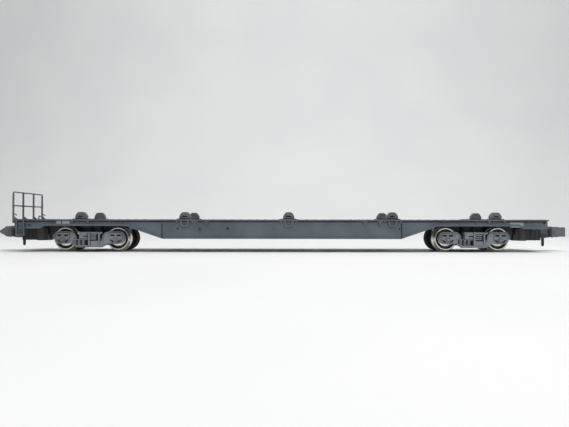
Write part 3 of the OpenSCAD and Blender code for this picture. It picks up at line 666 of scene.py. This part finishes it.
def sill_details(side):
    """Fittings on the outer face of a side sill."""
    rib_xs = (-62.9, -47.5, -39.4, 39.4, 47.5, 51.8, 60.2)
    dot_xs = (-25.5, 28.75)
    plate_boxes = ((-55.1, -54.0, 6.75, 7.6), (-53.7, -51.9, 6.75, 7.6), (55.9, 59.1, 6.15, 7.35))
    low_row = DECK_Z - 2.2
    hole_x, loop_x, loop_z = -13.3, -20.1, low_row - 0.25
    eye_x, eye_z = -61.7, DECK_Z - 1.35
    face = WEB_Y - SINK
    word = side_name(side)

    ribs = Shape(on_side(side))
    for x in rib_xs:
        ribs.box((x - 0.1, DECK_Z - 1.0, face), (x + 0.1, FLANGE_UNDER + 0.01, WEB_Y + 0.25))
    gusset_z = FLANGE_UNDER - 0.45
    for lock_x in LOCK_XS:
        for x in (lock_x - 1.9, lock_x + 1.9):
            ribs.plate([(x - 0.3, FLANGE_UNDER), (x - 0.18, gusset_z),
                        (x + 0.18, gusset_z), (x + 0.3, FLANGE_UNDER)], face, WEB_Y + 0.3)
    ribs.ring(eye_x, eye_z, 0.75, 0.45, face, WEB_Y + 0.07)
    ribs.ring(hole_x, low_row, 0.78, 0.54, face, WEB_Y + 0.06)
    ribs.piece("sill_ribs_" + word, BODY, "frame", "body_plastic", 0.02)

    # Painted shadow: a thin dark strip on the web just under the top flange, where the flange's
    # shadow falls.
    flange_shadow = Shape(on_side(side))
    half = DECK_HALF_L - 0.6
    flange_shadow.box((-half, FLANGE_UNDER - 0.33, face), (half, FLANGE_UNDER - 0.02, WEB_Y + 0.04))
    flange_shadow.piece("sill_flange_shadow_" + word, PAINTED_FLANGE_SHADOW, "frame", "body_plastic")

    loop = Shape(on_side(side))
    loop.tube([(loop_x + 0.32 * math.cos(a), loop_z + 0.5 * math.sin(a), WEB_Y + 0.12)
               for a in (math.tau * i / 24 for i in range(24))], 0.15, closed=True)
    loop.box((loop_x - 0.14, loop_z + 0.42, face), (loop_x + 0.14, loop_z + 0.72, WEB_Y + 0.2))
    loop.piece("rope_loop_" + word, LOCK, "frame", "body_plastic")

    # Painted shade: dark studs in the holes and dark strips on the floors of the seam grooves,
    # where shade falls.
    hole_shade = Shape(on_side(side))
    for x in dot_xs:
        hole_shade.stud(x, low_row, 0.42, face, WEB_Y + 0.1)
    for x in (-SEAM_X - 0.22, SEAM_X + 0.02):
        hole_shade.box((x, SILL_BOTTOM + 0.12, WEB_Y - 0.3),
                  (x + 0.2, FLANGE_UNDER - 0.02, WEB_Y - 0.14))
    for x, z, d in ((hole_x, low_row, 0.56), (DECK_HALF_L - 1.05, DECK_Z - 0.85, 0.5),
                    (eye_x, eye_z, 0.46)):
        hole_shade.stud(x, z, d, face, WEB_Y + 0.02, top=1.0)
    hole_shade.piece("sill_hole_shade_" + word, SHADOW, "frame", "black_plastic")

    plates = Shape(on_side(side))
    for x0, x1, z0, z1 in plate_boxes:
        plates.box((x0, z0, face), (x1, z1, WEB_Y + 0.05))
    plates.piece("blank_plates_" + word, PRINT, "frame", "body_plastic", 0.01)


def lock_details(side):
    """Base plate, bolts and hinge pins of each container lock, and painted shade in its slot."""
    word = side_name(side)
    top = DECK_Z + 0.12
    pin_z = DECK_Z + 0.42
    out = lock_high.y
    inner, outer = side * (LOCK_Y - 1.15), side * (LOCK_Y + 1.1)
    base = Shape()
    pins = Shape()
    slot_shade = Shape()
    for x in LOCK_XS:
        base.plate([(x - 2.0, inner), (x + 2.0, inner), (x + 2.0, outer), (x - 2.0, outer)],
                   DECK_SKIN, top)
        for dx in (-1.7, 1.7):
            for dy in (-0.75, 0.75):
                base.stud(x + dx, side * (LOCK_Y + dy), 0.34, top - 0.01, top + 0.14, n=6,
                          top=0.85)
        for dy in (-0.82, 0.82):
            y = side * (LOCK_Y + dy)
            pins.tube([(x - 1.2, y, pin_z), (x + 1.2, y, pin_z)], 0.26, n=12)
        # Painted shade: dark pieces in each lock's slot and low on its outer face.
        slot_shade.box((x - 0.55, side * (out - 0.42), DECK_Z + 0.62),
                  (x + 0.55, side * (out - 0.3), DECK_Z + 0.9))
        slot_shade.box((x - 0.95, side * (out - 0.02), DECK_Z + 0.2),
                  (x + 0.95, side * (out + 0.012), DECK_Z + 0.27))
    base.piece("lock_bases_" + word, BODY, "frame", "lock_plastic", 0.02)
    pins.piece("lock_pins_" + word, LOCK, "frame", "lock_plastic")
    slot_shade.piece("lock_slot_shade_" + word, SHADOW, "frame", "black_plastic")


PLATFORM_L = 5.0


def platform_treads():
    """Tread ribs and foot plates on the platforms at both ends of the deck."""
    tread = Shape()
    for end in ENDS.values():
        for i in range(9):
            x = end * (DECK_HALF_L - 0.55 - i * 0.45)
            tread.block(x, 0, 0.07, DECK_HALF_W - 2.4, DECK_SKIN, DECK_Z + 0.08)
        for side in SIDES:
            y = side * (DECK_HALF_W - 1.2)
            x = end * (DECK_HALF_L - PLATFORM_L / 2)
            tread.block(x, y, 1.9, 0.75, DECK_SKIN, DECK_Z + 0.06)
    tread.piece("platform_treads", BODY, "frame", "body_plastic", 0.02)


def bay_stiffeners():
    """Crossed ribs with a boss on the floors of the bays in the deck."""
    floor = DECK_Z - 0.65
    inner, outer = 1.5, DECK_HALF_W - 2.7
    half_w = 0.13
    ribs = Shape()
    for end in ENDS.values():
        for side in SIDES:
            for x0, x1 in ((DECK_HALF_L - PLATFORM_L - 0.2, 54.6), (50.6, 41.2), (39.2, 34.4)):
                a, b = end * x0, end * x1
                lo, hi = side * (inner + 0.2), side * (outer - 0.2)
                for start, stop in (((a, lo), (b, hi)), ((a, hi), (b, lo))):
                    (sx, sy), (tx, ty) = start, stop
                    along = Vector((tx - sx, ty - sy)).normalized() * half_w
                    ribs.plate([(sx - along.y, sy + along.x), (sx + along.y, sy - along.x),
                                (tx + along.y, ty - along.x), (tx - along.y, ty + along.x)],
                               floor - SINK, floor + 0.3)
                ribs.stud((a + b) / 2, side * (inner + outer) / 2, 0.9, floor, floor + 0.38)
    ribs.piece("bay_stiffeners", BODY, "frame", "body_plastic", 0.02)


def deck_rivets():
    """Rows of rivets along the deck, left out where a lock stands."""
    spacing = 2.1
    count = int((DECK_HALF_L - 1.5) / spacing)
    rows = ((DECK_HALF_W - 0.45, 2.3), (DECK_HALF_W - 2.3, 2.3), (1.2, 2.7))
    rivets = Shape()
    for i in range(-count, count + 1):
        x = i * spacing
        to_lock = min(abs(x - lock_x) for lock_x in LOCK_XS)
        for side in SIDES:
            for y, clear in rows:
                if to_lock > clear:
                    rivets.stud(x, side * y, 0.24, DECK_SKIN, DECK_Z + 0.07, n=8)
    rivets.piece("deck_rivets", BODY, "frame", "body_plastic")


def pin_caps():
    """Caps over the bogie pins."""
    caps = Shape()
    for end in ENDS.values():
        caps.ring(end * BOGIE_X, 0, 2.6, 2.0, DECK_SKIN, DECK_Z + 0.12)
        caps.stud(end * BOGIE_X, 0, 1.7, DECK_SKIN, DECK_Z + 0.2, n=6, top=0.9)
    caps.piece("pin_caps", LOCK, "frame", "lock_plastic", 0.02)


def ballast_screws():
    """Cross-head screws on top of the ballast plate."""
    row_y, edge = 3.8, 1
    top = BALLAST_TOP + 0.3
    screw_xs = [x + dx + 2.2 for x in LOCK_XS[1:-1] for dx in (-6.4, 6.4)]
    screws = Shape()
    slot_shade = Shape()
    for x in screw_xs:
        if ballast_low.x + edge < x < ballast_high.x - edge:
            for y in (-row_y, row_y):
                screws.stud(x, y, 0.95, BALLAST_TOP - SINK, top, n=20)
                # Painted shade: dark crosses in the screw heads' slots.
                slot_shade.block(x, y, 0.3, 0.06, top - SINK, top + 0.012)
                slot_shade.block(x, y, 0.06, 0.3, top - SINK, top + 0.013)
    screws.piece("ballast_screws", SCREW, "frame", "ballast_steel")
    slot_shade.piece("screw_slot_shade", SHADOW, "frame", "black_plastic")


def railing_details():
    """Clamps where the rails cross the posts, braces and legs, and the hook on the deck."""
    x = POST_X
    mid_z = DECK_Z + 3.35
    top_z = rail_high.z - 0.17
    edge_x = -DECK_HALF_L + 0.15
    clamps = Shape()
    for side in SIDES:
        inner_y, outer_y, leg_y = (side * y for y in (INNER_POST_Y, POST_Y, WEB_Y - 0.25))
        for y in (outer_y, inner_y):
            clamps.tube([(x, y, mid_z - 0.3), (x, y, mid_z + 0.3)], 0.56, n=14)
        clamps.tube([(x, inner_y, top_z - 0.3), (x, inner_y, top_z + 0.12)], 0.54, n=14)
        brace = ((0, 1.2), (0.45, 1.3), (0.7, 1.2), (0.75, 0.9))
        clamps.tube([(x + dx, outer_y, DECK_Z + z) for dx, z in brace], 0.3)
        for y in (POST_Y - 0.1, INNER_POST_Y):
            clamps.stud(x + 0.9, side * y, 0.5, DECK_SKIN, DECK_Z + 0.12, n=6)
        clamps.tube([(x, leg_y, DECK_Z - 0.1), (x + 0.02, leg_y, DECK_Z - 0.35),
                     (edge_x, leg_y, DECK_Z - 0.6), (edge_x, leg_y, DECK_Z - 2.15)], 0.42)
    clamps.piece("railing_clamps", BODY, "frame", "body_plastic")

    hook_x, hook_y = -64.5, 3.8
    bend = ((0, -0.1), (0, 0.5), (0.08, 0.8), (0.25, 0.95), (0.4, 0.8), (0.42, 0.6))
    hook = Shape()
    hook.tube([(hook_x + dx, hook_y, DECK_Z + z) for dx, z in bend], 0.3)
    hook.stud(hook_x, hook_y, 0.7, DECK_SKIN, DECK_Z + 0.15)
    hook.piece("deck_hook", LOCK, "frame", "lock_plastic")


def end_details(end, word):
    """Pipe cocks and bolts on an end beam."""
    face = DECK_HALF_L - 0.25
    bend = ((-0.6, -0.1), (-0.6, 0.35), (-0.95, 0.6), (-1.75, 0.7))
    fittings = Shape(on_end(end))
    for y in (-6.6, -5.2, 5.2, 6.6):
        fittings.stud(y, DECK_Z - 0.85, 0.5, face - SINK, face + 0.18, n=6, top=0.9)
    for y in (-4.0, 4.0):
        fittings.tube([(y, DECK_Z + z, face + out) for z, out in bend], 0.34)
        fittings.ring(y, DECK_Z - 0.6, 0.75, 0.36, face - SINK, face + 0.12)
    fittings.piece("end_fittings_" + word, BODY, "frame", "body_plastic")


def pipe_y(side, x):
    """Where the slightly uneven brake pipe lies across the car."""
    return side * 6.6 + 0.12 * math.sin(x / 9)


def underframe_details():
    """Pipes and rivets below the ballast plate."""
    floor = ballast_low.z - 0.4
    half = 31.5
    pipes = Shape()
    for side in SIDES:
        y = side * 6.6
        points = [(x, pipe_y(side, x), floor - 0.35) for x in range(-30, 31, 3)]
        pipes.tube([(-half, y, floor + 0.1)] + points + [(half, y, floor + 0.1)], 0.42)
    pipes.tube([(-half, 2.6, floor + 0.1), (-half + 1.2, 2.6, floor - 0.3),
                (-12.8, 2.6, floor - 0.3), (-12.2, 2.9, floor - 0.3)], 0.3)
    pipes.piece("brake_pipes", LOCK, "frame", "body_plastic")

    clips = Shape()
    for side in SIDES:
        for x in range(-27, 28, 9):
            clips.block(x, pipe_y(side, x), 0.3, 0.4, floor - 0.66, floor + 0.02)
    clips.piece("pipe_clips", BODY, "frame", "body_plastic", 0.03)

    rivets = Shape(Matrix.Rotation(math.pi, 4, "X"))
    for i in range(-14, 15):
        for side in SIDES:
            rivets.stud(i * 2.1, side * 5.6, 0.26, -floor - SINK, -floor + 0.08, n=8)
    rivets.piece("floor_rivets", BODY, "frame", "body_plastic")


for side in SIDES:
    sill_details(side)
    lock_details(side)
platform_treads()
bay_stiffeners()
deck_rivets()
pin_caps()
ballast_screws()
railing_details()
underframe_details()
for word, end in ENDS.items():
    end_details(end, word)


# --- Bogie details ---

def from_axle(outline):
    """Lifts an outline whose heights are counted from the axle."""
    return [(x, AXLE_Z + z) for x, z in outline]


def frame_relief(board):
    """Castings, ribs and bolts raised on a side frame."""
    face = FRAME_FACE - SINK
    bracket = ((-2.35, 0.1), (-0.35, 0.1), (-0.35, 0.52), (-1.5, 0.52), (-1.5, 0.82),
               (-0.35, 0.82), (-0.35, 1.68), (-2.35, 1.68))
    apron = ((0.3, -1.95), (2.6, -1.95), (3.6, -1.1), (3.2, -0.5), (0.3, -0.5))
    tray = ((-4.1, -1.3), (-3.4, -1.85), (-0.3, -1.85), (-0.3, -1.55), (-3.3, -1.55), (-4.1, -1.1))
    relief = Shape(board)
    relief.plate(from_axle(bracket), face, FRAME_FACE + 0.38)
    for z0, z1 in ((0.84, 1.1), (0.34, 0.6), (-0.12, 0.14), (1.3, 1.68)):
        relief.box((0.35, AXLE_Z + z0, face), (1.8, AXLE_Z + z1, FRAME_FACE + 0.36))
    relief.plate(from_axle(apron), face, FRAME_FACE + 0.16)
    relief.plate(from_axle(tray), face, FRAME_FACE + 0.5)
    relief.box((-3.9, AXLE_Z - 0.2, face), (-0.3, AXLE_Z - 0.04, FRAME_FACE + 0.5))
    relief.box((-0.16, AXLE_Z - 1.75, face), (0.16, AXLE_Z + 1.72, FRAME_Y + 0.06))
    for x in (-1.95, -0.8):
        relief.stud(x, AXLE_Z + 1.25, 0.36, FRAME_FACE + 0.36, FRAME_FACE + 0.5, n=6)
    for x in (-2.5, 1.0, 2.0):
        relief.stud(x, AXLE_Z - 1.7, 0.32, FRAME_FACE + 0.14, FRAME_FACE + 0.32, n=6)
    return relief


def frame_bars(board):
    """Lever, arched bars and axlebox covers on a side frame."""
    lever = ((2.45, -1.2), (2.45, 0.6), (2.5, 1.1), (2.7, 1.42), (3.0, 1.52), (3.25, 1.42))
    inner = arc_points((HALF_WHEELBASE - 1.75, 0.2), 1.5, 1.6, 180, 90, 8)
    outer = arc_points((HALF_WHEELBASE + 1.05, 0.6), 1.0, 1.2, 90, -10, 8)
    arch = [(HALF_WHEELBASE - 3.2, -0.15)] + inner + outer
    cover_z = AXLE_Z - 0.2
    bars = Shape(board)
    bars.tube([(x, z, FRAME_FACE + 0.28) for x, z in from_axle(lever)], 0.44)
    for hand in (-1, 1):
        bars.tube([(hand * x, z - 0.08, FRAME_FACE + 0.05) for x, z in from_axle(arch)], 0.26, n=8)
        cx = hand * HALF_WHEELBASE
        bars.ring(cx, cover_z, 1.35, 1.0, FRAME_FACE + 0.18, FRAME_FACE + 0.3)
        bars.stud(cx, cover_z, 0.5, FRAME_Y - SINK, FRAME_Y + 0.1, n=6)
        for dx, dz in ((-1.32, 1.28), (1.32, 1.28), (0, 1.15)):
            bars.stud(cx + dx, AXLE_Z + dz, 0.24, FRAME_FACE + 0.18, FRAME_FACE + 0.32, n=6)
    return bars


def frame_recesses(board):
    """Painted shade: dark floors between the castings and inside the axleboxes' openings."""
    face = FRAME_FACE - SINK
    bar_half_l, bar_half_w = 0.48, 0.16
    dark = Shape(board)
    for x0, x1, z0, z1 in ((0.3, 2.12, -0.35, 1.4), (-1.52, -0.3, 0.5, 0.84),
                           (-3.9, -0.3, -1.57, -0.18)):
        dark.box((x0, AXLE_Z + z0, face), (x1, AXLE_Z + z1, FRAME_FACE + 0.03))
    for cx in (-HALF_WHEELBASE, HALF_WHEELBASE):
        for hand in (-1, 1):
            x = cx + hand * 0.8
            dark.box((x - bar_half_l, AXLE_Z + 0.67, FRAME_FACE - 0.14),
                     (x + bar_half_l, AXLE_Z + 1.09, FRAME_FACE - 0.04))
            slant = math.radians(hand * 40)
            corners = ((-bar_half_l, -bar_half_w), (bar_half_l, -bar_half_w),
                       (bar_half_l, bar_half_w), (-bar_half_l, bar_half_w))
            dark.plate([(cx + hand * 0.95 + x * math.cos(slant) - y * math.sin(slant),
                         AXLE_Z - 0.5 + x * math.sin(slant) + y * math.cos(slant))
                        for x, y in corners], FRAME_FACE - 0.42, FRAME_FACE - 0.2)
    return dark


def bogie_side(word, end, side):
    """Relief on the outside of one side frame, drawn as it is seen from outside."""
    body = word + "_bogie"
    name = word + "_" + side_name(side)
    board = from_outside(side, end * BOGIE_X)
    frame_relief(board).piece("bogie_relief_" + name, TRUCK, body, "bogie_plastic", 0.03)
    frame_bars(board).piece("bogie_bars_" + name, TRUCK, body, "bogie_plastic")

    springs = Shape(board)
    for x in (-3.4, -2.4, -1.4):
        springs.coil(x, FRAME_FACE + 0.2, AXLE_Z - 1.58, AXLE_Z - 0.18, d=0.9, wire=0.2, turns=4.4)
    springs.piece("bogie_springs_" + name, TRUCK, body, "bogie_plastic")
    frame_recesses(board).piece("bogie_recess_shade_" + name, SHADOW, body, "black_plastic")


def pocket_details(word, end):
    """Round housing at the inner end of the coupler pocket, and the trim on its lid."""
    body = word + "_bogie"
    low_z, high_z = core_low.z, lid_high.z
    barrel = Shape(at_end(end, BOGIE_X))
    centre = POCKET_X + 1.75
    outline = arc_points((0, 0), 1.95, POCKET_HALF_W + 0.5, 0, 345, 23)
    barrel.plate([(centre + x, y) for x, y in outline], low_z - 0.12, high_z + 0.5, top=0.97)
    barrel.piece("pocket_barrel_" + word, BARREL, body, "black_plastic", 0.25, 4)

    lid = Shape(at_end(end, BOGIE_X))
    for x in (POCKET_X + 0.7, POCKET_END - 0.7):
        for y in (-1.7, 1.7):
            lid.stud(x, y, 0.6, high_z - SINK, high_z + 0.1, n=16)
    for y in (-POCKET_HALF_W - 0.05, POCKET_HALF_W + 0.05):
        for x in (POCKET_X + 4.0, POCKET_X + 5.2, POCKET_END - 0.3):
            lid.block(x, y, 0.12, 0.1, low_z + 0.1, high_z - 0.3)
    lid.box((POCKET_X + 3.6, -POCKET_HALF_W + 0.4, high_z - SINK),
            (POCKET_END - 1.1, POCKET_HALF_W - 0.4, high_z + 0.06))
    lid.piece("pocket_lid_trim_" + word, BLACK, body, "black_plastic", 0.02)


def coupler_details(word, end):
    """Collar round the coupler's shank, and the trim on its head."""
    body = word + "_coupler"
    collar = Shape(at_end(end, COUPLER_HEAD_X))
    shank_z = lid_low.z - 1.7
    collar.box((-2.4, -1.05, shank_z - 0.06), (-0.1, 1.05, lid_high.z + 0.05))
    for x in (-2.0, -1.4, -0.8):
        collar.block(x, 0, 0.12, 1.15, shank_z - 0.12, lid_high.z + 0.12)
    collar.piece("coupler_collar_" + word, COLLAR, body, "black_plastic", 0.04)

    trim = Shape(at_end(end, COUPLER_HEAD_X))
    head_low, head_high = tip_low.z, tip_high.z
    middle = (head_low + head_high) / 2
    half_w = tip_high.y
    for y in (-half_w - 0.04, half_w + 0.04):
        trim.box((0.05, y - 0.08, head_low + 0.15), (0.3, y + 0.08, head_high - 0.15))
        trim.box((0.55, y - 0.06, middle - 0.5), (1.15, y + 0.06, middle + 0.5))
    for y in (-1.2, 0.0, 1.2):
        trim.stud(0.37, y, 0.4, head_high - SINK, head_high + 0.1, n=12)
    trim.piece("coupler_trim_" + word, HOOK, body, "bogie_plastic", 0.03)


def wheel_faces(n):
    """Bright turned faces outside both wheel discs, with the axle ends."""
    profile = ((0.35, -0.04), (0.5, -0.08), (0.56, -0.16), (0.75, -0.18), (1.3, -0.22),
               (1.8, -0.28), (1.9, -0.36), (1.9, -0.62))
    middle = axle_x(n)
    shape = Shape()
    for side in SIDES:
        rings = [shape.points([(x, side * (WHEEL_FACE + depth), z)
                               for x, z in circle(middle, AXLE_Z, r, 48)])
                 for r, depth in profile]
        shape.mesh.faces.new(rings[0] if side == NEAR else rings[0][::-1])
        for a, b in zip(rings, rings[1:]):
            shape.bridge(a, b)
        shape.mesh.faces.new(rings[-1])
    metal = turned_metal("wheel_face_metal_%d" % n, (0.92, 0.90, 0.85), middle, gloss=0.16)
    shape.piece("wheel_faces_%d" % n, metal, "wheelset_%d" % n, "wheel_metal")


for word, end in ENDS.items():
    for side in SIDES:
        bogie_side(word, end, side)
    pocket_details(word, end)
    coupler_details(word, end)
for n in WHEELSETS:
    wheel_faces(n)
